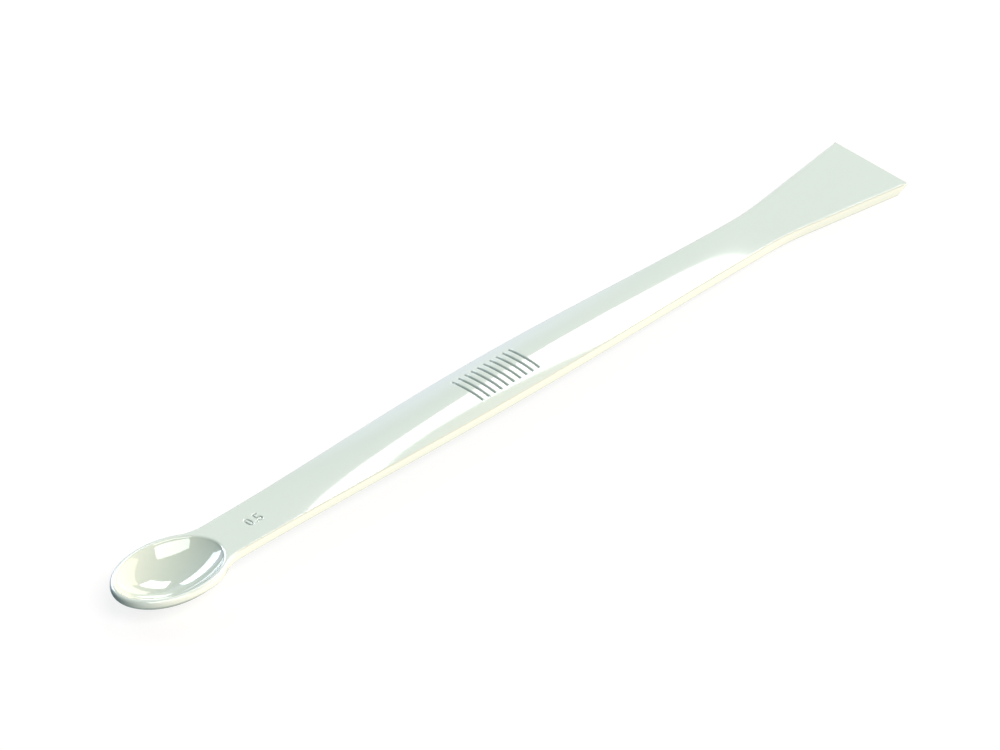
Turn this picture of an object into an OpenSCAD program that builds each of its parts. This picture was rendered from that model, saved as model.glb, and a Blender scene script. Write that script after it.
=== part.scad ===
// Laboratory spatula moulded in one piece: an oval measuring spoon, an arched handle and a flat flared blade.
// The strip is drawn with its flat top at z = 0 and its length along x, then laid down as it comes to rest.

/* [Strip] */
// Length from the tip of the spoon to the end of the blade
overall_length = 180; // [160:1:220]
// Thickness of the strip
thickness = 1.8; // [1.4:0.1:2.4]
// Rounding along the top and bottom edges
edge_radius = 0.3; // [0.1:0.05:0.45]

/* [Spoon] */
// Length of the spoon over its rim
spoon_length = 23.55; // [20:0.05:30]
// Width of the spoon over its rim
spoon_width = 15.9; // [13:0.1:20]
// Rim, from its outer edge to the wall of the bowl
rim_width = 1; // [0.8:0.05:1.6]
// Rounding from the rim into the bowl
lip_radius = 0.6; // [0.2:0.05:0.8]
// Depth of the bowl below the rim
bowl_depth = 3.75; // [2.8:0.05:5]
// Wall under the middle of the bowl
bowl_wall = 1.1; // [0.8:0.1:2]
// Rounding from the side of the rim into the bulge under the bowl
foot_radius = 0.9; // [0.3:0.05:1.1]
// Hollow radius of the outline where the spoon runs into the handle
neck_radius = 9; // [4:0.5:16]

/* [Handle] */
// Width of the handle at both of its ends
neck_width = 9.75; // [7:0.05:12]
// Width of the handle at its middle
middle_width = 12.6; // [10:0.1:16]
// Height of the arch across the handle, at its middle
crown_height = 0.95; // [0.1:0.05:1.6]
// Rise of the handle's middle above its ends
bow_height = 0.43; // [0.05:0.01:1.5]

/* [Blade] */
// Width of the blade at its end
blade_width = 17.5; // [13:0.1:24]
// Length of the blade, from where its sides spread to its end
blade_length = 25.6; // [18:0.1:36]
// Length over which the sides turn from the handle into the blade
turn_length = 8; // [2:0.5:16]
// Length of the bevel under the end of the blade
bevel_length = 2.1; // [0.8:0.1:4]
// Thickness that the bevel leaves at the end
end_thickness = 0.25; // [0.15:0.05:1]

/* [Hidden] */
// Facets across the handle, around the spoon, down the bowl and in each small rounding
across_facets = 10;
spoon_facets = 40;
bowl_facets = 8;
round_facets = 2;
// Facets along the neck, the handle, the turn and the blade
neck_facets = 5;
handle_facets = 28;
turn_facets = 5;
blade_facets = 2;
// Most of the local thickness that an edge rounding takes up
edge_limit_share = 0.4;
// Distance over which the lines across the strip straighten behind the spoon, in depths of their first arc
straighten_share = 3;
// Halvings that find where the neck leaves the rim
neck_halvings = 40;
// Turns of the roundings from the rim into the bowl and from its side into the bulge
lip_turn = 50;
foot_turn = 45;
// Angle round the spoon over which the lower rounding grows from the neck
foot_fade = 50;
// Fullness of the bowl and the bulge, from 1 for a dish to 2 for half an ellipsoid
bowl_fullness = 1.2;

half_length = overall_length / 2;
spoon_x = spoon_length / 2 - half_length;
blade_x = half_length - blade_length;
bevel_x = half_length - bevel_length;
bulge_depth = bowl_depth + bowl_wall;

// Unit vector along v
function unit(v) = v / norm(v);

// Rim of the spoon seen from above: point and outward normal at an angle of the ellipse
function rim_point(angle) = [spoon_x + spoon_length / 2 * cos(angle), spoon_width / 2 * sin(angle)];
function rim_normal(angle) = unit([cos(angle) / spoon_length, sin(angle) / spoon_width]);

// The neck is an arc that touches the rim and the straight start of the handle's side.
// Its centre is one radius outside both, which fixes the angle at which it leaves the rim.
function neck_excess(angle) =
    spoon_width / 2 * sin(angle) + neck_radius * (rim_normal(angle)[1] - 1) - neck_width / 2;
function find_neck(low, high, halvings) =
    let (middle = (low + high) / 2)
    halvings == 0 ? middle
    : neck_excess(middle) > 0 ? find_neck(low, middle, halvings - 1)
    : find_neck(middle, high, halvings - 1);
neck_angle = find_neck(0, 90, neck_halvings);
neck_centre = rim_point(neck_angle) + neck_radius * rim_normal(neck_angle);

// The handle starts to swell where the neck has turned, and not before it is clear of the rim
handle_x = max(neck_centre[0], rim_point(0)[0]);

// Swell of the handle, from 0 at its ends to 1 at its middle, and its slope
function along(x) = min(1, max(0, (x - handle_x) / (blade_x - handle_x)));
function swell(x) = pow(sin(180 * along(x)), 2);
function swell_slope(x) = sin(360 * along(x)) * PI / (blade_x - handle_x);

// Distance into the blade, starting on a parabola over the turn, and its slope
function turn_share(x) = min(1, max(0, (x - blade_x) / turn_length + 1 / 2));
function spread(x) = turn_length / 2 * pow(turn_share(x), 2) + max(0, x - blade_x - turn_length / 2);

// Half width of the handle and blade, and the normal of that side
flare = (blade_width - neck_width) / 2 / blade_length;
function half_width(x) = neck_width / 2 + (middle_width - neck_width) / 2 * swell(x) + flare * spread(x);
function side_slope(x) = (middle_width - neck_width) / 2 * swell_slope(x) + flare * turn_share(x);
function side_normal(x) = unit([-side_slope(x), 1]);

// Thickness of the strip and rounding of its edges at x
function wall(x) = thickness - (thickness - end_thickness) * max(0, x - bevel_x) / bevel_length;
function rounding(x) = min(edge_radius, edge_limit_share * wall(x));

// Height of the top at x, across being 0 on the centre line and 1 at the sides
function top_height(x, across) = swell(x) * (bow_height + crown_height * (1 - pow(across, 2)));

// Angle at which the top falls towards the side
function edge_fall(x, w) = atan(2 * crown_height * swell(x) * (w - rounding(x)) / pow(w, 2));

// Outline on the +y side, from the rim to the end of the blade: each place is a point and its outward normal
neck_start = atan2(rim_normal(neck_angle)[1], rim_normal(neck_angle)[0]);
neck_places = [
    for (i = [1 : neck_facets])
        let (turn = neck_start + (90 - neck_start) * i / neck_facets)
        [neck_centre - neck_radius * [cos(turn), sin(turn)], [cos(turn), sin(turn)]]
];
side_xs = concat(
    [for (i = [1 : handle_facets]) handle_x + (blade_x - turn_length / 2 - handle_x) * i / handle_facets],
    [for (i = [1 : turn_facets]) blade_x + turn_length * (i / turn_facets - 1 / 2)],
    [for (i = [1 : blade_facets]) bevel_x - (bevel_x - blade_x - turn_length / 2) * (1 - i / blade_facets)]
);
places = concat(
    [[rim_point(neck_angle), rim_normal(neck_angle)]],
    neck_places,
    [for (x = side_xs) [[x, half_width(x)], side_normal(x)]],
    [[[half_length, half_width(half_length)], [0, 1]]]
);

// Edge of the strip at a place, from the top over the side to the underside
function arc(place, radius, z, first, last) = [
    for (i = [0 : round_facets])
        let (turn = first + (last - first) * i / round_facets)
        let (p = place[0] - place[1] * radius * (1 - sin(turn)))
        [p[0], p[1], z + radius * cos(turn)]
];
function edge(place) =
    let (x = place[0][0], w = half_width(x), r = rounding(x), fall = edge_fall(x, w))
    let (top_z = top_height(x, 1 - r * (1 - sin(fall)) / w))
    let (bottom_z = top_height(x, 1 - r * (1 + sin(fall)) / w) - wall(x))
    concat(
        arc(place, r, top_z - r * cos(fall), fall, 90),
        arc(place, r, bottom_z + r * cos(fall), 90, 180 + fall)
    );

// Edge of the spoon at an angle, where the lower rounding grows away from the neck
function fade(angle) =
    let (away = min(abs(angle), 360 - abs(angle)) - neck_angle)
    pow(sin(90 * min(1, max(0, away / foot_fade))), 2);
function foot(angle) = edge_radius + (foot_radius - edge_radius) * fade(angle);
function spoon_edge(angle) =
    let (place = [rim_point(angle), rim_normal(angle)], r = foot(angle))
    concat(
        arc(place, edge_radius, -edge_radius, 0, 90),
        arc(place, r, r - thickness, 90, 180 - (90 - foot_turn) * fade(angle))
    );

// Angles around the spoon: across the mouth of the neck, then round the open side
neck_angles = [for (i = [0 : across_facets]) neck_angle * (2 * i / across_facets - 1)];
open_angles = concat(
    [for (i = [0 : spoon_facets - 1]) neck_angle + (360 - 2 * neck_angle) * i / spoon_facets],
    [-neck_angle]
);
spoon_angles = concat(neck_angles, [for (i = [1 : spoon_facets - 1]) open_angles[i]]);

// Ring around the spoon at a distance inside its rim, drawn in towards the middle by a share
function ring(inset, share, z) = [
    for (angle = spoon_angles)
        let (p = rim_point(angle) - inset * rim_normal(angle))
        [spoon_x + (p[0] - spoon_x) * share, p[1] * share, z]
];

// Upper face of the spoon, from the floor of the bowl out to the rim's edge
function hollow(turn) = pow(cos(turn), 2 / bowl_fullness);
lip_depth = lip_radius * (1 - cos(lip_turn));
bowl_grid = concat(
    [for (i = [1 : bowl_facets])
        let (turn = 90 * i / bowl_facets)
        ring(rim_width, sin(turn), -lip_depth - (bowl_depth - lip_depth) * hollow(turn))],
    [for (i = [1 : round_facets])
        let (turn = lip_turn * (1 - i / round_facets))
        ring(rim_width - lip_radius * (sin(lip_turn) - sin(turn)), 1, -lip_radius * (1 - cos(turn)))],
    [ring(edge_radius, 1, 0)]
);

// Edge of the spoon round its open side, one row for each step from the top to the underside
edge_columns = [for (angle = open_angles) spoon_edge(angle)];
edge_grid = [for (i = [0 : len(edge_columns[0]) - 1]) [for (column = edge_columns) column[i]]];

// Under face of the spoon, from its edge in to the bottom of the bulge, which follows the bowl
foot_inset = foot_radius * (1 - cos(foot_turn));
foot_depth = thickness - foot_radius * (1 - sin(foot_turn));
bulge_grid = concat(
    [[for (angle = spoon_angles) let (side = spoon_edge(angle)) side[len(side) - 1]]],
    [for (i = [1 : bowl_facets - 1])
        let (turn = 90 * (1 - i / bowl_facets))
        ring(foot_inset, sin(turn), -foot_depth - (bulge_depth - foot_depth) * hollow(turn))]
);

// Lines across the strip start as the arc of the rim behind the spoon, and straighten along the handle
mouth = [for (angle = neck_angles) rim_point(angle) - edge_radius * rim_normal(angle)];
mouth_end = mouth[across_facets];
mouth_depth = mouth[across_facets / 2][0] - mouth_end[0];
function bend(x) = mouth_depth * pow(max(0, 1 - (x - mouth_end[0]) / (mouth_depth * straighten_share)), 2);

// Line across a face from side to side, ending at a point of the edge
function face_line(end, w, drop) = [
    for (p = mouth)
        let (x = end[0] + bend(end[0]) * (p[0] - mouth_end[0]) / mouth_depth)
        let (y = end[1] * p[1] / mouth_end[1])
        [x, y, top_height(x, y / w) - drop]
];

// Closed section of the strip at a place: top, +y edge, underside and -y edge
function inner(list) = [for (i = [1 : len(list) - 2]) list[i]];
function reverse(list) = [for (i = [len(list) - 1 : -1 : 0]) list[i]];
function section(place) =
    let (side = edge(place), w = place[0][1])
    concat(
        face_line(side[0], w, 0),
        inner(side),
        reverse(face_line(side[len(side) - 1], w, wall(place[0][0]))),
        [for (p = reverse(inner(side))) [p[0], -p[1], p[2]]]
    );
strip_grid = [for (place = places) section(place)];

// Triangles over a grid of points numbered from start, joined round where it is closed
function skin(grid, start, closed) =
    let (columns = len(grid[0]))
    [
        for (row = [0 : len(grid) - 2], column = [0 : columns - (closed ? 1 : 2)])
            let (a = start + row * columns + column, b = start + row * columns + (column + 1) % columns)
            each [[a, b, b + columns], [a, b + columns, a + columns]]
    ];
function count(grid) = len(grid) * len(grid[0]);
function flatten(grid) = [for (row = grid) each row];

// Triangles over a flat end, between each point of the top half of its section and the one below it
function end_skin(start, columns) = [
    for (i = [-round_facets : across_facets + round_facets - 1])
        let (below = 2 * (across_facets + round_facets) + 1 - i)
        let (a = start + (i + columns) % columns, b = start + (i + 1 + columns) % columns)
        each [[a, b, start + below - 1], [a, start + below - 1, start + below]]
];

// All points of the strip, and how far it turns and lifts to lie on its bulge and on its blade
edge_start = count(bowl_grid);
bulge_start = edge_start + count(edge_grid);
strip_start = bulge_start + count(bulge_grid);
poles = [[spoon_x, 0, -bowl_depth], [spoon_x, 0, -bulge_depth]];
points = concat(flatten(bowl_grid), flatten(edge_grid), flatten(bulge_grid), flatten(strip_grid), poles);
rest_tilt = atan((bulge_depth - thickness) / (bevel_x - spoon_x));
rest_xs = [for (p = points) p[0] * cos(rest_tilt) + p[2] * sin(rest_tilt)];
rest_zs = [for (p = points) p[2] * cos(rest_tilt) - p[0] * sin(rest_tilt)];

module spatula() {
    around = len(spoon_angles);
    last_ring = bulge_start + count(bulge_grid) - around;
    floor_pole = strip_start + count(strip_grid);
    last_section = floor_pole - len(strip_grid[0]);
    color([0.87, 0.92, 0.88])
        translate([-(min(rest_xs) + max(rest_xs)) / 2, 0, -min(rest_zs)])
            rotate([0, rest_tilt, 0])
                polyhedron(points, concat(
                    [for (i = [0 : around - 1]) [floor_pole, (i + 1) % around, i]],
                    skin(bowl_grid, 0, true),
                    skin(edge_grid, edge_start, false),
                    skin(bulge_grid, bulge_start, true),
                    [for (i = [0 : around - 1])
                        [floor_pole + 1, last_ring + i, last_ring + (i + 1) % around]],
                    skin(strip_grid, strip_start, true),
                    end_skin(last_section, len(strip_grid[0]))
                ));
}

spatula();
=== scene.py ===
import math

import bmesh
import bpy
import numpy as np
from mathutils import Matrix, Quaternion, Vector


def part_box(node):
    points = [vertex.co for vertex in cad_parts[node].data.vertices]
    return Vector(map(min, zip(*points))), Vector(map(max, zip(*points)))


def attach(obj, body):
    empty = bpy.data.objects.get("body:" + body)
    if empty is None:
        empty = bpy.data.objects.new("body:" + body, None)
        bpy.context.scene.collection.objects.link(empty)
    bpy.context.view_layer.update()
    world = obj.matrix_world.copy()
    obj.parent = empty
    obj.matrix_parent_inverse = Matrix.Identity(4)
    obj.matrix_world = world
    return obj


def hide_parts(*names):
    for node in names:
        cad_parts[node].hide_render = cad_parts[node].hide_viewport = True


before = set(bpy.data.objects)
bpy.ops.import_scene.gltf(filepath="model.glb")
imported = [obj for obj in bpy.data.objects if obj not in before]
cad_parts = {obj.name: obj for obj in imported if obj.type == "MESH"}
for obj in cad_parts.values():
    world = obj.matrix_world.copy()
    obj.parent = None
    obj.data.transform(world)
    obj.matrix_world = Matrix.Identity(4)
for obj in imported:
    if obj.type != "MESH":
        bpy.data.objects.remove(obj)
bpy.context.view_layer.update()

mm = 0.001
tiny = 1e-6  # least divisor

# Sizes of the moulding in millimetres. It is worked out as a flat strip, top at z = 0 and length along x.
moulding = {
    "length": 180.0, "thickness": 1.8, "edgeRound": 0.3, "edgeLimit": 0.4,
    "spoonLength": 23.55, "spoonWidth": 15.9, "rimWidth": 1.0, "rimRound": 0.5,
    "lipRound": 0.6, "lipTurn": 50.0,
    "bowlDepth": 3.75, "bowlWall": 1.1, "fullness": 1.2,  # fullness 1 is a dish, 2 half an ellipsoid
    "footRound": 0.9, "footTurn": 45.0, "footFade": 50.0,
    "neckRadius": 9.0, "neckWidth": 9.75, "straighten": 3.0,
    "middleWidth": 12.6, "crownHeight": 0.95, "bowHeight": 0.43,
    "bladeWidth": 17.5, "bladeLength": 25.6, "turnLength": 8.0,
    "bevelLength": 2.1, "endThickness": 0.25,
}
# Steps of the grids: counts across the faces and round the spoon, then spacings along the strip in mm
steps = {
    "top": 110, "under": 40, "open": 260, "edge": 8, "bowl": 44, "lip": 14, "bulge": 24, "shadeFade": 8,
    "neck": 18, "neckTrials": 20001,
    "coarse": 1.2, "fine": 0.1, "finest": 0.07, "turn": 0.5, "blade": 1.2, "bevel": 0.2,
}
# Grip bars pressed into the middle of the handle, and the bowl's measure pressed in behind the spoon
gripBars = {
    "first": -7.55, "pitch": 1.5, "count": 10, "reach": 3.8, "halfWidth": 0.25, "depth": 0.24,
    "margin": 0.5,  # finely stepped at either end, as below
}
measureMark = {
    "start": -60.1, "height": 2.1, "digitWidth": 1.15, "gap": 0.5, "halfWidth": 0.17, "depth": 0.18,
    "margin": 0.3,
    "hookShift": 0.15, "hookRadius": 1.15, "stemEnd": 0.75,  # shares of half a digit
    "hookFirst": -150, "hookLast": 135,  # degrees
}
# Painted shade on the strip's upper edges: middle and reach in shares of the rounding, and the run it grows
# over
paintedEdgeShade = {"middle": 0.45, "half": 0.65, "grow": 5.0}

halfLength = moulding["length"] / 2
spoonX = moulding["spoonLength"] / 2 - halfLength
bladeX = halfLength - moulding["bladeLength"]
bevelX = halfLength - moulding["bevelLength"]
bulgeDepth = moulding["bowlDepth"] + moulding["bowlWall"]


# Points from coordinates that are spread over one grid
def stack(x, y, z):
    return np.stack(np.broadcast_arrays(x, y, z), axis=-1).astype(float)


# Rim of the spoon from above: an ellipse, with its outward normal
def rimPoint(angle):
    x = spoonX + moulding["spoonLength"] / 2 * np.cos(angle)
    return np.stack([x, moulding["spoonWidth"] / 2 * np.sin(angle)], axis=-1)


def rimNormal(angle):
    x = np.cos(angle) / moulding["spoonLength"]
    across = np.stack([x, np.sin(angle) / moulding["spoonWidth"]], axis=-1)
    return across / np.linalg.norm(across, axis=-1, keepdims=True)


# The neck is an arc that touches the rim and the handle's side: its centre lies one radius outside both
trialAngles = np.linspace(0, math.pi / 2, steps["neckTrials"])
neckExcess = (moulding["spoonWidth"] / 2 * np.sin(trialAngles)
              + moulding["neckRadius"] * (rimNormal(trialAngles)[:, 1] - 1) - moulding["neckWidth"] / 2)
neckAngle = float(np.interp(0, neckExcess, trialAngles))
neckCentre = rimPoint(neckAngle) + moulding["neckRadius"] * rimNormal(neckAngle)
handleX = neckCentre[0]


# Swell of the handle: sine squared from 0 at its ends to 1 at its middle, and its slope
def swell(x):
    return np.sin(math.pi * np.clip((x - handleX) / (bladeX - handleX), 0, 1)) ** 2


def swellSlope(x):
    share = np.clip((x - handleX) / (bladeX - handleX), 0, 1)
    return np.sin(2 * math.pi * share) * math.pi / (bladeX - handleX)


# Side of the blade: spreads on a parabola over the turn, then straight
flare = (moulding["bladeWidth"] - moulding["neckWidth"]) / 2 / moulding["bladeLength"]
widen = (moulding["middleWidth"] - moulding["neckWidth"]) / 2


def turnShare(x):
    return np.clip((x - bladeX) / moulding["turnLength"] + 0.5, 0, 1)


def halfWidth(x):
    turn = moulding["turnLength"] / 2
    spread = turn * turnShare(x) ** 2 + np.maximum(0, x - bladeX - turn)
    return moulding["neckWidth"] / 2 + widen * swell(x) + flare * spread


# Thickness of the strip, thinned by the bevel, and the rounding that it leaves room for
def wall(x):
    lost = (moulding["thickness"] - moulding["endThickness"]) / moulding["bevelLength"]
    return moulding["thickness"] - lost * np.maximum(0, x - bevelX)


def rounding(x):
    return np.minimum(moulding["edgeRound"], moulding["edgeLimit"] * wall(x))


# Height of the top: the swell times the sum of a bow along the handle and a parabola across it
def topHeight(x, across):
    return swell(x) * (moulding["bowHeight"] + moulding["crownHeight"] * (1 - across ** 2))


# Distances in the plane of the top: to the nearest point of a stroke or an arc, and to an oval as the level
# of its equation over that level's slope
def strokeDistance(x, y, start, end):
    (ax, ay), (bx, by) = start, end
    length = (bx - ax) ** 2 + (by - ay) ** 2
    share = np.clip(((x - ax) * (bx - ax) + (y - ay) * (by - ay)) / length, 0, 1)
    return np.hypot(x - ax - share * (bx - ax), y - ay - share * (by - ay))


def arcDistance(x, y, centre, radius, first, last):
    middle, half = math.radians(first + last) / 2, math.radians(last - first) / 2
    turn = (np.arctan2(y - centre[1], x - centre[0]) - middle + math.pi) % (2 * math.pi) - math.pi
    near = middle + np.clip(turn, -half, half)
    return np.hypot(x - centre[0] - radius * np.cos(near), y - centre[1] - radius * np.sin(near))


def ovalDistance(x, y, centre, halfX, halfY):
    dx, dy = x - centre[0], y - centre[1]
    level = (dx / halfX) ** 2 + (dy / halfY) ** 2 - 1
    return np.abs(level) / np.maximum(2 * np.hypot(dx / halfX ** 2, dy / halfY ** 2), tiny)


# Pressed marks: 1 on a stroke's centre line, falling on a parabola to 0 at its edge
def barMask(x, y):
    place = np.clip(np.round((x - gripBars["first"]) / gripBars["pitch"]), 0, gripBars["count"] - 1)
    reach = gripBars["reach"] - gripBars["halfWidth"]
    away = np.hypot(x - gripBars["first"] - gripBars["pitch"] * place, np.maximum(np.abs(y) - reach, 0))
    return np.clip(1 - (away / gripBars["halfWidth"]) ** 2, 0, 1)


def measureMask(x, y):
    half = measureMark["height"] / 2 - measureMark["halfWidth"]
    wide = measureMark["digitWidth"] / 2 - measureMark["halfWidth"]
    step = measureMark["digitWidth"] / 2 + measureMark["gap"]
    zero = measureMark["start"] + measureMark["digitWidth"] / 2
    point = zero + step
    five = point + step
    radius = wide * measureMark["hookRadius"]
    hook = (five - wide * measureMark["hookShift"], -half + radius)
    stemEnd = hook[1] + wide * measureMark["stemEnd"]
    away = np.minimum.reduce([
        ovalDistance(x, y, (zero, 0), wide, half),
        np.hypot(x - point, y + half),
        strokeDistance(x, y, (five - wide, half), (five + wide, half)),
        strokeDistance(x, y, (five - wide, half), (five - wide, stemEnd)),
        arcDistance(x, y, hook, radius, measureMark["hookFirst"], measureMark["hookLast"]),
    ])
    return np.clip(1 - (away / measureMark["halfWidth"]) ** 2, 0, 1)


# Stations along the handle and blade, evenly spaced within each stretch and closest at the marks
def stripStations():
    barEnd = gripBars["first"] + gripBars["pitch"] * (gripBars["count"] - 1)
    measureEnd = measureMark["start"] + 2 * (measureMark["digitWidth"] + measureMark["gap"])
    turn = moulding["turnLength"] / 2
    stretches = [
        (measureMark["start"] - measureMark["margin"], "coarse"),
        (measureEnd + measureMark["margin"], "finest"),
        (gripBars["first"] - gripBars["margin"], "coarse"), (barEnd + gripBars["margin"], "fine"),
        (bladeX - turn, "coarse"), (bladeX + turn, "turn"), (bevelX, "blade"), (halfLength, "bevel"),
    ]
    xs = [handleX]
    for end, kind in stretches:
        count = max(1, round((end - xs[-1]) / steps[kind]))
        xs.extend(np.linspace(xs[-1], end, count + 1)[1:])
    return np.array(xs[1:])


# Outline on the +y side, from the rim to the end of the blade: points and outward normals
def outline():
    start = rimNormal(neckAngle)
    turn = np.linspace(math.atan2(start[1], start[0]), math.pi / 2, steps["neck"] + 1)
    neckNormals = np.stack([np.cos(turn), np.sin(turn)], axis=-1)
    neckPoints = neckCentre - moulding["neckRadius"] * neckNormals
    xs = stripStations()
    slope = widen * swellSlope(xs) + flare * turnShare(xs)
    slope[-1] = 0  # the blade's end is cut square
    sideNormals = np.stack([-slope, np.ones_like(slope)], axis=-1)
    sideNormals /= np.linalg.norm(sideNormals, axis=-1, keepdims=True)
    sidePoints = np.stack([xs, halfWidth(xs)], axis=-1)
    return np.concatenate([neckPoints, sidePoints]), np.concatenate([neckNormals, sideNormals])


# Quarter rounds: a circle of the given radius against the outline, turned from first to last
def arc(points, normals, radius, z, first, last):
    turn = first[:, None] + (last - first)[:, None] * np.linspace(0, 1, steps["edge"] + 1)
    inset = (radius[:, None] * (1 - np.sin(turn)))[..., None]
    place = points[:, None, :] - normals[:, None, :] * inset
    return stack(place[..., 0], place[..., 1], z[:, None] + radius[:, None] * np.cos(turn))


# Both roundings of the strip's edge, which start at the slope of the arched faces
def stripEdge(points, normals):
    x = points[:, 0]
    w, r = halfWidth(x), rounding(x)
    fall = np.arctan(2 * moulding["crownHeight"] * swell(x) * (w - r) / w ** 2)
    topZ = topHeight(x, 1 - r * (1 - np.sin(fall)) / w)
    underZ = topHeight(x, 1 - r * (1 + np.sin(fall)) / w) - wall(x)
    quarter = np.full_like(x, math.pi / 2)
    upper = arc(points, normals, r, topZ - r * np.cos(fall), fall, quarter)
    lower = arc(points, normals, r, underZ + r * np.cos(fall), quarter, math.pi + fall)
    return np.concatenate([upper, lower[:, 1:]], axis=1)


# Edge of the spoon: its roundings grow by sine squared from the neck's to the rim's and the bulge foot's
def edgeFade(angle):
    away = np.minimum(np.abs(angle), 2 * math.pi - np.abs(angle)) - neckAngle
    return np.sin(math.pi / 2 * np.clip(away / math.radians(moulding["footFade"]), 0, 1)) ** 2


def rimEdge(angle):
    return moulding["edgeRound"] + (moulding["rimRound"] - moulding["edgeRound"]) * edgeFade(angle)


def spoonEdge(angle):
    fade, r = edgeFade(angle), rimEdge(angle)
    foot = moulding["edgeRound"] + (moulding["footRound"] - moulding["edgeRound"]) * fade
    quarter = np.full_like(angle, math.pi / 2)
    last = math.pi - (math.pi / 2 - math.radians(moulding["footTurn"])) * fade
    upper = arc(rimPoint(angle), rimNormal(angle), r, -r, np.zeros_like(angle), quarter)
    lower = arc(rimPoint(angle), rimNormal(angle), foot, foot - moulding["thickness"], quarter, last)
    return np.concatenate([upper, lower[:, 1:]], axis=1)


# Rings round the spoon: the rim moved in by an inset, then drawn towards the middle by a share
def rings(angle, inset, share, z):
    place = rimPoint(angle)[None] - inset[:, None, None] * rimNormal(angle)[None]
    x = spoonX + (place[..., 0] - spoonX) * share[:, None]
    return stack(x, place[..., 1] * share[:, None], z[:, None])


# Depth of the hollow: the cosine of the turn to the power 2 / fullness, while its reach is the sine
def hollow(turn):
    return np.clip(np.cos(turn), 0, 1) ** (2 / moulding["fullness"])


# Bowl from its middle outwards: the hollow, the lip as part of a circle, and the start of the rim's rounding
def bowlGrid(angle):
    lip, rim, lipTurn = moulding["lipRound"], moulding["rimWidth"], math.radians(moulding["lipTurn"])
    lipDepth = lip * (1 - math.cos(lipTurn))
    turn = np.linspace(0, math.pi / 2, steps["bowl"] + 1)
    floor = rings(angle, np.full_like(turn, rim), np.sin(turn),
                  -lipDepth - (moulding["bowlDepth"] - lipDepth) * hollow(turn))
    turn = np.linspace(lipTurn, 0, steps["lip"] + 1)[1:]
    lipInset = rim - lip * (math.sin(lipTurn) - np.sin(turn))
    lips = rings(angle, lipInset, np.ones_like(turn), -lip * (1 - np.cos(turn)))
    flat = rimPoint(angle) - rimEdge(angle)[:, None] * rimNormal(angle)
    return np.concatenate([floor, lips, stack(flat[:, 0], flat[:, 1], 0)[None]])


# Bulge under the bowl: the same hollow, from the end of the lower rounding down
def bulgeGrid(angle):
    footTurn = math.radians(moulding["footTurn"])
    inset = moulding["footRound"] * (1 - math.cos(footTurn))
    depth = moulding["thickness"] - moulding["footRound"] * (1 - math.sin(footTurn))
    turn = math.pi / 2 * (1 - np.linspace(0, 1, steps["bulge"] + 1)[1:])
    start = spoonEdge(angle)[:, -1][None]
    z = -depth - (bulgeDepth - depth) * hollow(turn)
    return np.concatenate([start, rings(angle, np.full_like(turn, inset), np.sin(turn), z)])


# Lines across the strip: the rim's arc behind the spoon, straightened by the square of the run that is left
def faceLines(ends, points, neckAngles, drop):
    mouth = rimPoint(neckAngles) - moulding["edgeRound"] * rimNormal(neckAngles)
    depth = mouth[:, 0].max() - mouth[-1, 0]
    run = np.maximum(0, 1 - (ends[:, 0] - mouth[-1, 0]) / (depth * moulding["straighten"]))
    x = ends[:, :1] + (depth * run ** 2)[:, None] * ((mouth[:, 0] - mouth[-1, 0]) / depth)[None]
    y = ends[:, 1:2] * (mouth[:, 1] / mouth[-1, 1])[None]
    return stack(x, y, topHeight(x, y / points[:, 1:2]) - drop[:, None])


# Painted edge shade: a parabola over the upper rounding, grown from 0 behind the neck
def edgeShadeWeights(x, columns):
    away = (np.arange(1, columns + 1) / steps["edge"] - paintedEdgeShade["middle"]) / paintedEdgeShade["half"]
    along = np.clip((x - x[0]) / paintedEdgeShade["grow"], 0, 1)
    return along[:, None] * np.clip(1 - away ** 2, 0, 1)[None]


# Closed sections of the strip: top, +y edge, under face and -y edge, with the marks pressed into the top
def stripGrid(topAngles, underAngles):
    points, normals = outline()
    edge = stripEdge(points, normals)
    top = faceLines(edge[:, 0], points, topAngles, np.zeros(len(points)))
    bars, measure = barMask(top[..., 0], top[..., 1]), measureMask(top[..., 0], top[..., 1])
    top[..., 2] -= gripBars["depth"] * bars + measureMark["depth"] * measure
    under = faceLines(edge[:, -1], points, underAngles, wall(points[:, 0]))
    inner = edge[:, 1:-1]
    grid = np.concatenate([top, inner, under[:, ::-1], inner[:, ::-1] * [1, -1, 1]], axis=1)
    mask, edgeShade = np.zeros(grid.shape[:2]), np.zeros(grid.shape[:2])
    mask[:, :top.shape[1]] = np.maximum(bars, measure)
    # Painted shade on both upper edge roundings
    shadeWeights = edgeShadeWeights(points[:, 0], inner.shape[1])
    edgeShade[:, top.shape[1]:top.shape[1] + inner.shape[1]] = shadeWeights
    edgeShade[:, -inner.shape[1]:] = shadeWeights[:, ::-1]
    return grid, mask, edgeShade


# Four-sided faces over a grid of points numbered from start, joined round where it is closed
def gridFaces(shape, start, closed):
    rows, columns = shape
    row = np.arange(rows - 1)[:, None]
    column = np.arange(columns if closed else columns - 1)[None]
    a = start + row * columns + column
    b = start + row * columns + (column + 1) % columns
    return np.stack([a, b, b + columns, a + columns], axis=-1).reshape(-1, 4)


# Rows of a grid that hold 1 and fall evenly to 0 over the last few
def fadeOut(rows, last):
    return np.clip((rows - 1 - np.arange(rows)) / last, 0, 1)


# Lays the strip down: turned by the slope from bulge to blade, and moved into the CAD model's box
def layDown(points):
    tilt = math.atan((bulgeDepth - moulding["thickness"]) / (bevelX - spoonX))
    x = points[:, 0] * math.cos(tilt) + points[:, 2] * math.sin(tilt)
    z = points[:, 2] * math.cos(tilt) - points[:, 0] * math.sin(tilt)
    low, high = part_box("spatula")
    shiftX = (low.x + high.x) / 2 / mm - (x.min() + x.max()) / 2
    shiftZ = low.z / mm - z.min()
    toRest = Matrix.Translation((shiftX * mm, 0, shiftZ * mm)) @ Matrix.Rotation(tilt, 4, "Y")
    return stack(x + shiftX, points[:, 1], z + shiftZ) * mm, toRest
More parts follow.
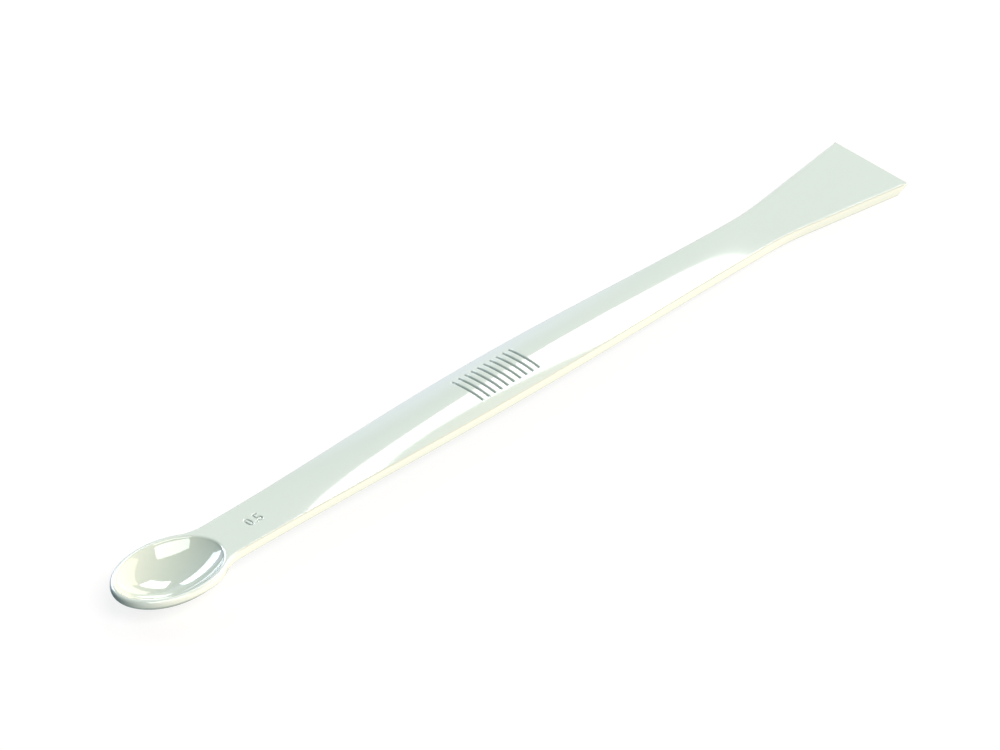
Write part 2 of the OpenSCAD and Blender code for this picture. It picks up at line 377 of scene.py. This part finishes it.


# One mesh from the four grids, with the pressed marks, the painted shade of the upper edges and the painted
# shade of the bowl, which also marks its polish, as attributes
def buildMoulding():
    topAngles = np.linspace(-neckAngle, neckAngle, steps["top"] + 1)
    underAngles = np.linspace(-neckAngle, neckAngle, steps["under"] + 1)
    openAngles = np.linspace(neckAngle, 2 * math.pi - neckAngle, steps["open"] + 1)
    strip, stripMask, stripEdgeShade = stripGrid(topAngles, underAngles)
    bowl = bowlGrid(np.concatenate([topAngles, openAngles[1:-1]]))
    bulge = bulgeGrid(np.concatenate([underAngles, openAngles[1:-1]]))
    edge = spoonEdge(openAngles).transpose(1, 0, 2)
    grids = [(bowl, True), (edge, False), (bulge, True), (strip, True)]
    faces, start = [], 0
    for grid, closed in grids:
        faces.extend(gridFaces(grid.shape[:2], start, closed).tolist())
        start += grid.shape[0] * grid.shape[1]
    columns = strip.shape[1]
    faces.append(list(range(start - columns, start)))  # flat end of the blade
    points = np.concatenate([grid.reshape(-1, 3) for grid, closed in grids])
    pressed, edgeShade, paintedBowlShade = np.zeros((3, len(points)))
    pressed[start - stripMask.size:] = stripMask.reshape(-1)
    edgeShade[start - stripMask.size:] = stripEdgeShade.reshape(-1)
    # Painted bowl shade, which also marks where the bowl keeps its polish: 1 over the hollow and falling to
    # 0 across the lip, and on the bulge rising from 0 at the foot
    bowlShadeRows = np.repeat(fadeOut(bowl.shape[0], steps["lip"] + 1), bowl.shape[1])
    bulgeShadeRows = np.repeat(fadeOut(bulge.shape[0], steps["shadeFade"])[::-1], bulge.shape[1])
    bulgeStart = bowl[..., 0].size + edge[..., 0].size
    paintedBowlShade[:len(bowlShadeRows)] = bowlShadeRows
    paintedBowlShade[bulgeStart:bulgeStart + len(bulgeShadeRows)] = bulgeShadeRows
    placed, toRest = layDown(points)
    mesh = bpy.data.meshes.new("mouldedSpatula")
    mesh.from_pydata(placed.tolist(), [], faces)
    for name, values in (("pressedMark", pressed), ("paintedEdgeShade", edgeShade), ("bowlShadeAndPolish", paintedBowlShade)):
        mesh.attributes.new(name, "FLOAT", "POINT").data.foreach_set("value", values.astype(np.float32))
    piece = bpy.data.objects.new("mouldedSpatula", mesh)
    bpy.context.scene.collection.objects.link(piece)
    return piece, toRest


seams = {"weldDistance": 2e-6, "sharpAngle": 65}  # metres, degrees


# Welds the seams between the grids and the poles, turns the faces outwards and shades them smooth
def weld(piece):
    work = bmesh.new()
    work.from_mesh(piece.data)
    bmesh.ops.remove_doubles(work, verts=work.verts, dist=seams["weldDistance"])
    bmesh.ops.recalc_face_normals(work, faces=work.faces)
    openEdges = sum(1 for e in work.edges if len(e.link_faces) != 2)
    work.to_mesh(piece.data)
    work.free()
    piece.data.polygons.foreach_set("use_smooth", np.ones(len(piece.data.polygons), bool))
    piece.data.set_sharp_from_angle(angle=math.radians(seams["sharpAngle"]))
    print("moulding:", len(piece.data.polygons), "faces,", openEdges, "open edges")


spatula, toRest = buildMoulding()
weld(spatula)
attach(spatula, "root")
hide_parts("spatula")

# Pale mint polystyrene: colours, painted shade on the bowl and the upper edges, gloss and the fine marks of
# moulding and use
polystyrene = {
    "colour": (0.708, 0.842, 0.795), "milky": (0.727, 0.852, 0.805), "cloudScale": 55.0, "cloudDetail": 3.0,
    # The first two colours on the next line are painted shade, for the bowl and for the strip's upper edges
    "paintedBowlShade": (0.905, 0.905, 0.87), "edgeShade": (0.9, 0.87, 0.84), "shade": (0.22, 0.31, 0.30),
    "roughLow": 0.065, "roughHigh": 0.09, "wearScale": 900.0, "wearDetail": 4.0, "bowlRough": 0.025,
    "peelScale": 420.0, "peelDetail": 1.0, "peelDepth": 0.000004,
    "ior": 1.59, "polish": 1.0, "polishRough": 0.06,
}


# New node, with its settings and plain inputs given by name
def nodeIn(tree, kind, **values):
    node = tree.nodes.new(kind)
    for name, value in values.items():
        if hasattr(node, name):
            setattr(node, name, value)
        else:
            node.inputs[name].default_value = value
    return node


def mouldedMaterial():
    material = bpy.data.materials.new("mintPolystyrene")
    material.use_nodes = True
    tree = material.node_tree
    link = tree.links.new
    shader = tree.nodes["Principled BSDF"]
    place = nodeIn(tree, "ShaderNodeTexCoord").outputs["Object"]

    # Milky clouds in the colour, where the melt flowed
    cloud = nodeIn(tree, "ShaderNodeTexNoise", Scale=polystyrene["cloudScale"],
                   Detail=polystyrene["cloudDetail"])
    link(place, cloud.inputs["Vector"])
    tint = nodeIn(tree, "ShaderNodeMix", data_type="RGBA")
    tint.inputs["A"].default_value = (*polystyrene["colour"], 1)
    tint.inputs["B"].default_value = (*polystyrene["milky"], 1)
    link(cloud.outputs["Fac"], tint.inputs["Factor"])

    # Painted shade: the bowl's hollow and the bulge under it are multiplied darker and yellower, for the
    # shade that falls in the bowl
    bowlShadeAndPolish = nodeIn(tree, "ShaderNodeAttribute", attribute_name="bowlShadeAndPolish")
    bowlShaded = nodeIn(tree, "ShaderNodeMix", data_type="RGBA", blend_type="MULTIPLY")
    bowlShaded.inputs["B"].default_value = (*polystyrene["paintedBowlShade"], 1)
    link(bowlShadeAndPolish.outputs["Fac"], bowlShaded.inputs["Factor"])
    link(tint.outputs["Result"], bowlShaded.inputs["A"])

    # Painted shade on the upper roundings of the strip's edges, multiplied darker and warmer
    edge = nodeIn(tree, "ShaderNodeAttribute", attribute_name="paintedEdgeShade")
    edgeShaded = nodeIn(tree, "ShaderNodeMix", data_type="RGBA", blend_type="MULTIPLY")
    edgeShaded.inputs["B"].default_value = (*polystyrene["edgeShade"], 1)
    link(edge.outputs["Fac"], edgeShaded.inputs["Factor"])
    link(bowlShaded.outputs["Result"], edgeShaded.inputs["A"])

    # Pressed strokes are a shade darker
    mark = nodeIn(tree, "ShaderNodeAttribute", attribute_name="pressedMark")
    shaded = nodeIn(tree, "ShaderNodeMix", data_type="RGBA")
    shaded.inputs["B"].default_value = (*polystyrene["shade"], 1)
    link(mark.outputs["Fac"], shaded.inputs["Factor"])
    link(edgeShaded.outputs["Result"], shaded.inputs["A"])
    link(shaded.outputs["Result"], shader.inputs["Base Color"])

    # Gloss that is dulled by handling, while the bowl keeps the polish of its mould
    worn = nodeIn(tree, "ShaderNodeTexNoise", Scale=polystyrene["wearScale"],
                  Detail=polystyrene["wearDetail"])
    link(place, worn.inputs["Vector"])
    gloss = nodeIn(tree, "ShaderNodeMapRange")
    gloss.inputs["To Min"].default_value = polystyrene["roughLow"]
    gloss.inputs["To Max"].default_value = polystyrene["roughHigh"]
    link(worn.outputs["Fac"], gloss.inputs["Value"])
    kept = nodeIn(tree, "ShaderNodeMix", data_type="FLOAT")
    kept.inputs["B"].default_value = polystyrene["bowlRough"]
    link(bowlShadeAndPolish.outputs["Fac"], kept.inputs["Factor"])
    link(gloss.outputs["Result"], kept.inputs["A"])
    link(kept.outputs["Result"], shader.inputs["Roughness"])

    # Faint unevenness of a polished mould
    peel = nodeIn(tree, "ShaderNodeTexNoise", Scale=polystyrene["peelScale"],
                  Detail=polystyrene["peelDetail"])
    link(place, peel.inputs["Vector"])
    bump = nodeIn(tree, "ShaderNodeBump", Strength=1.0, Distance=polystyrene["peelDepth"])
    link(peel.outputs["Fac"], bump.inputs["Height"])
    link(bump.outputs["Normal"], shader.inputs["Normal"])

    # Clear surface of the moulding, the same all over
    shader.inputs["IOR"].default_value = polystyrene["ior"]
    shader.inputs["Coat Weight"].default_value = polystyrene["polish"]
    shader.inputs["Coat Roughness"].default_value = polystyrene["polishRough"]
    shader.inputs["Coat IOR"].default_value = polystyrene["ior"]
    return material


spatula.data.materials.append(mouldedMaterial())
print("material on", spatula.name)

# Camera: the photograph is a level isometric view, so a long lens stands far off; in millimetres, and the
# far clip in times the distance
cameraSet = {
    "lens": 1200.0, "sensor": 36.0, "frameWidth": 169.33, "aimRight": 0.175, "aimUp": 0.452, "clip": 3,
}


def setCamera():
    view = Vector((-1, -1, 1)).normalized()  # isometric
    right = Vector((1, -1, 0)).normalized()
    up = view.cross(right)
    distance = cameraSet["lens"] * cameraSet["frameWidth"] / cameraSet["sensor"] * mm
    aim = (right * cameraSet["aimRight"] + up * cameraSet["aimUp"]) * mm
    stand = Matrix((right, up, view)).transposed().to_4x4()
    stand.translation = aim + view * distance
    data = bpy.data.cameras.new("camera")
    data.lens, data.sensor_width = cameraSet["lens"], cameraSet["sensor"]
    data.clip_end = cameraSet["clip"] * distance
    camera = bpy.data.objects.new("camera", data)
    camera.matrix_world = toRest @ stand
    bpy.context.scene.collection.objects.link(camera)
    bpy.context.scene.camera = camera


setCamera()
print("camera set")

# Studio: each softbox stands in a direction (degrees from +x, degrees up) and faces back along another
softboxes = {
    "backSoftbox": {"from": (26.6, 41.6), "facing": (27.3, 14.6), "roll": 2.2, "size": (0.438, 0.312),
                    "radiance": (4.6, 4.6, 4.7)},
    "leftSoftbox": {"from": (72.4, 28.3), "facing": (130.7, 31.2), "roll": -21.4, "size": (0.97, 0.338),
                    "radiance": (3.9, 4.2, 4.6)},
    "frontSoftbox": {"from": (-85.9, 55.4), "facing": (-114.4, 34.1), "roll": -3.8, "size": (0.84, 0.74),
                     "radiance": (3.95, 4.08, 3.95)},
    "warmCard": {"from": (-16, 16.5), "facing": (-15, 0), "roll": 0, "size": (0.94, 0.72),
                 "radiance": (2.1, 1.8, 1.15)},
    "lowCard": {"from": (22, 13), "facing": (22, 0), "roll": 0, "size": (0.4, 0.42),
                "radiance": (1.5, 1.42, 1.25)},
}
standOff = 15.0  # metres; sizes are for a stand of one metre and grow with it
surround = {
    "acrossAxis": (-45, 0),
    "across": [(0.0, (0.02, 0.05, 0.06)), (0.2, (0.10, 0.15, 0.17)), (0.42, (0.50, 0.56, 0.63)),
               (0.58, (0.72, 0.62, 0.55)), (0.8, (2.0, 1.48, 1.25)), (1.0, (2.42, 1.8, 1.53))],
    "upwardAxis": (0, 90),
    "upward": [(0.0, (0.17, 0.34, 0.33)), (0.25, (0.76, 0.84, 0.84)), (0.5, (1, 1, 1)),
               (0.57, (0.4, 0.4, 0.4)), (0.72, (0.36, 0.36, 0.36)), (0.85, (0.28, 0.22, 0.2)),
               (1.0, (0.2, 0.16, 0.15))],
    "glowAxis": (75, 8),
    "glow": [(0.92, (0, 0, 0)), (0.985, (0.72, 0.68, 0.9))],
}
floorSet = {"size": 4.0, "colour": (0.22, 0.22, 0.22), "lift": 0.8}  # lift is the floor's own glow


# Unit vector by degrees from +x and degrees up
def direction(azimuth, elevation):
    a, e = math.radians(azimuth), math.radians(elevation)
    return Vector((math.cos(e) * math.cos(a), math.cos(e) * math.sin(a), math.sin(e)))


def addSoftbox(name, spec):
    data = bpy.data.lights.new(name, "AREA")
    data.shape = "RECTANGLE"
    data.size, data.size_y = (side * standOff for side in spec["size"])
    level = max(spec["radiance"])
    data.color = [part / level for part in spec["radiance"]]
    data.energy = level * math.pi * data.size * data.size_y  # pi times radiance and area
    lamp = bpy.data.objects.new(name, data)
    facing = direction(*spec["facing"]).to_track_quat("Z", "Y")
    turn = facing @ Quaternion((0, 0, 1), math.radians(spec["roll"]))
    stand = Matrix.Translation(direction(*spec["from"]) * standOff)
    lamp.matrix_world = toRest @ stand @ turn.to_matrix().to_4x4()
    lamp.visible_camera = False
    bpy.context.scene.collection.objects.link(lamp)


for name, spec in softboxes.items():
    addSoftbox(name, spec)


# Colour ramp through the given stops
def rampNode(tree, stops):
    node = nodeIn(tree, "ShaderNodeValToRGB")
    elements = node.color_ramp.elements
    ready = len(elements)
    for i, (position, colour) in enumerate(stops):
        element = elements[i] if i < ready else elements.new(position)
        element.position = position
        element.color = (*colour, 1)
    return node


# Surroundings: a ramp from dark teal on one side to warm white on the other, dimmed overhead and below,
# a cool glow about the left softbox, and plain white to the camera
def setSurroundings():
    world = bpy.data.worlds.new("studio")
    bpy.context.scene.world = world
    world.use_nodes = True
    tree = world.node_tree
    link = tree.links.new
    place = nodeIn(tree, "ShaderNodeTexCoord").outputs["Generated"]
    looks = []
    for look in ("across", "upward", "glow"):
        along = nodeIn(tree, "ShaderNodeVectorMath", operation="DOT_PRODUCT")
        link(place, along.inputs[0])
        along.inputs[1].default_value = direction(*surround[look + "Axis"])
        share = nodeIn(tree, "ShaderNodeMapRange")
        share.inputs["From Min"].default_value = -1  # the cosine runs from -1 to 1
        link(along.outputs["Value"], share.inputs["Value"])
        ramp = rampNode(tree, surround[look])
        link(share.outputs["Result"], ramp.inputs["Fac"])
        looks.append(ramp.outputs["Color"])
    dimmed = nodeIn(tree, "ShaderNodeMix", data_type="RGBA", blend_type="MULTIPLY")
    dimmed.inputs["Factor"].default_value = 1
    link(looks[0], dimmed.inputs["A"])
    link(looks[1], dimmed.inputs["B"])
    glowing = nodeIn(tree, "ShaderNodeMix", data_type="RGBA", blend_type="ADD")
    glowing.inputs["Factor"].default_value = 1
    link(dimmed.outputs["Result"], glowing.inputs["A"])
    link(looks[2], glowing.inputs["B"])
    seen = nodeIn(tree, "ShaderNodeLightPath").outputs["Is Camera Ray"]
    pick = nodeIn(tree, "ShaderNodeMix", data_type="RGBA")
    pick.inputs["B"].default_value = (1, 1, 1, 1)
    link(seen, pick.inputs["Factor"])
    link(glowing.outputs["Result"], pick.inputs["A"])
    link(pick.outputs["Result"], tree.nodes["Background"].inputs["Color"])


setSurroundings()


# Floor: a pale sheet that only the camera sees, so that it shows the shadow; from below it is clear
def addFloor():
    half = floorSet["size"] / 2
    mesh = bpy.data.meshes.new("floor")
    corners = [(-half, -half, 0), (half, -half, 0), (half, half, 0), (-half, half, 0)]
    mesh.from_pydata(corners, [], [(0, 1, 2, 3)])
    floor = bpy.data.objects.new("floor", mesh)
    bpy.context.scene.collection.objects.link(floor)
    material = bpy.data.materials.new("paleFloor")
    material.use_nodes = True
    tree = material.node_tree
    link = tree.links.new
    shader = tree.nodes["Principled BSDF"]
    shader.inputs["Base Color"].default_value = (*floorSet["colour"], 1)
    shader.inputs["Roughness"].default_value = 1.0
    shader.inputs["Specular IOR Level"].default_value = 0.0
    shader.inputs["Emission Color"].default_value = (1, 1, 1, 1)
    shader.inputs["Emission Strength"].default_value = floorSet["lift"]
    below = nodeIn(tree, "ShaderNodeNewGeometry").outputs["Backfacing"]
    side = nodeIn(tree, "ShaderNodeMixShader")
    link(below, side.inputs["Fac"])
    link(shader.outputs["BSDF"], side.inputs[1])
    link(nodeIn(tree, "ShaderNodeBsdfTransparent").outputs["BSDF"], side.inputs[2])
    link(side.outputs["Shader"], tree.nodes["Material Output"].inputs["Surface"])
    mesh.materials.append(material)
    floor.visible_diffuse = False
    floor.visible_glossy = False
    floor.visible_shadow = False


addFloor()
bpy.context.scene.view_settings.view_transform = "Standard"
print("studio set")
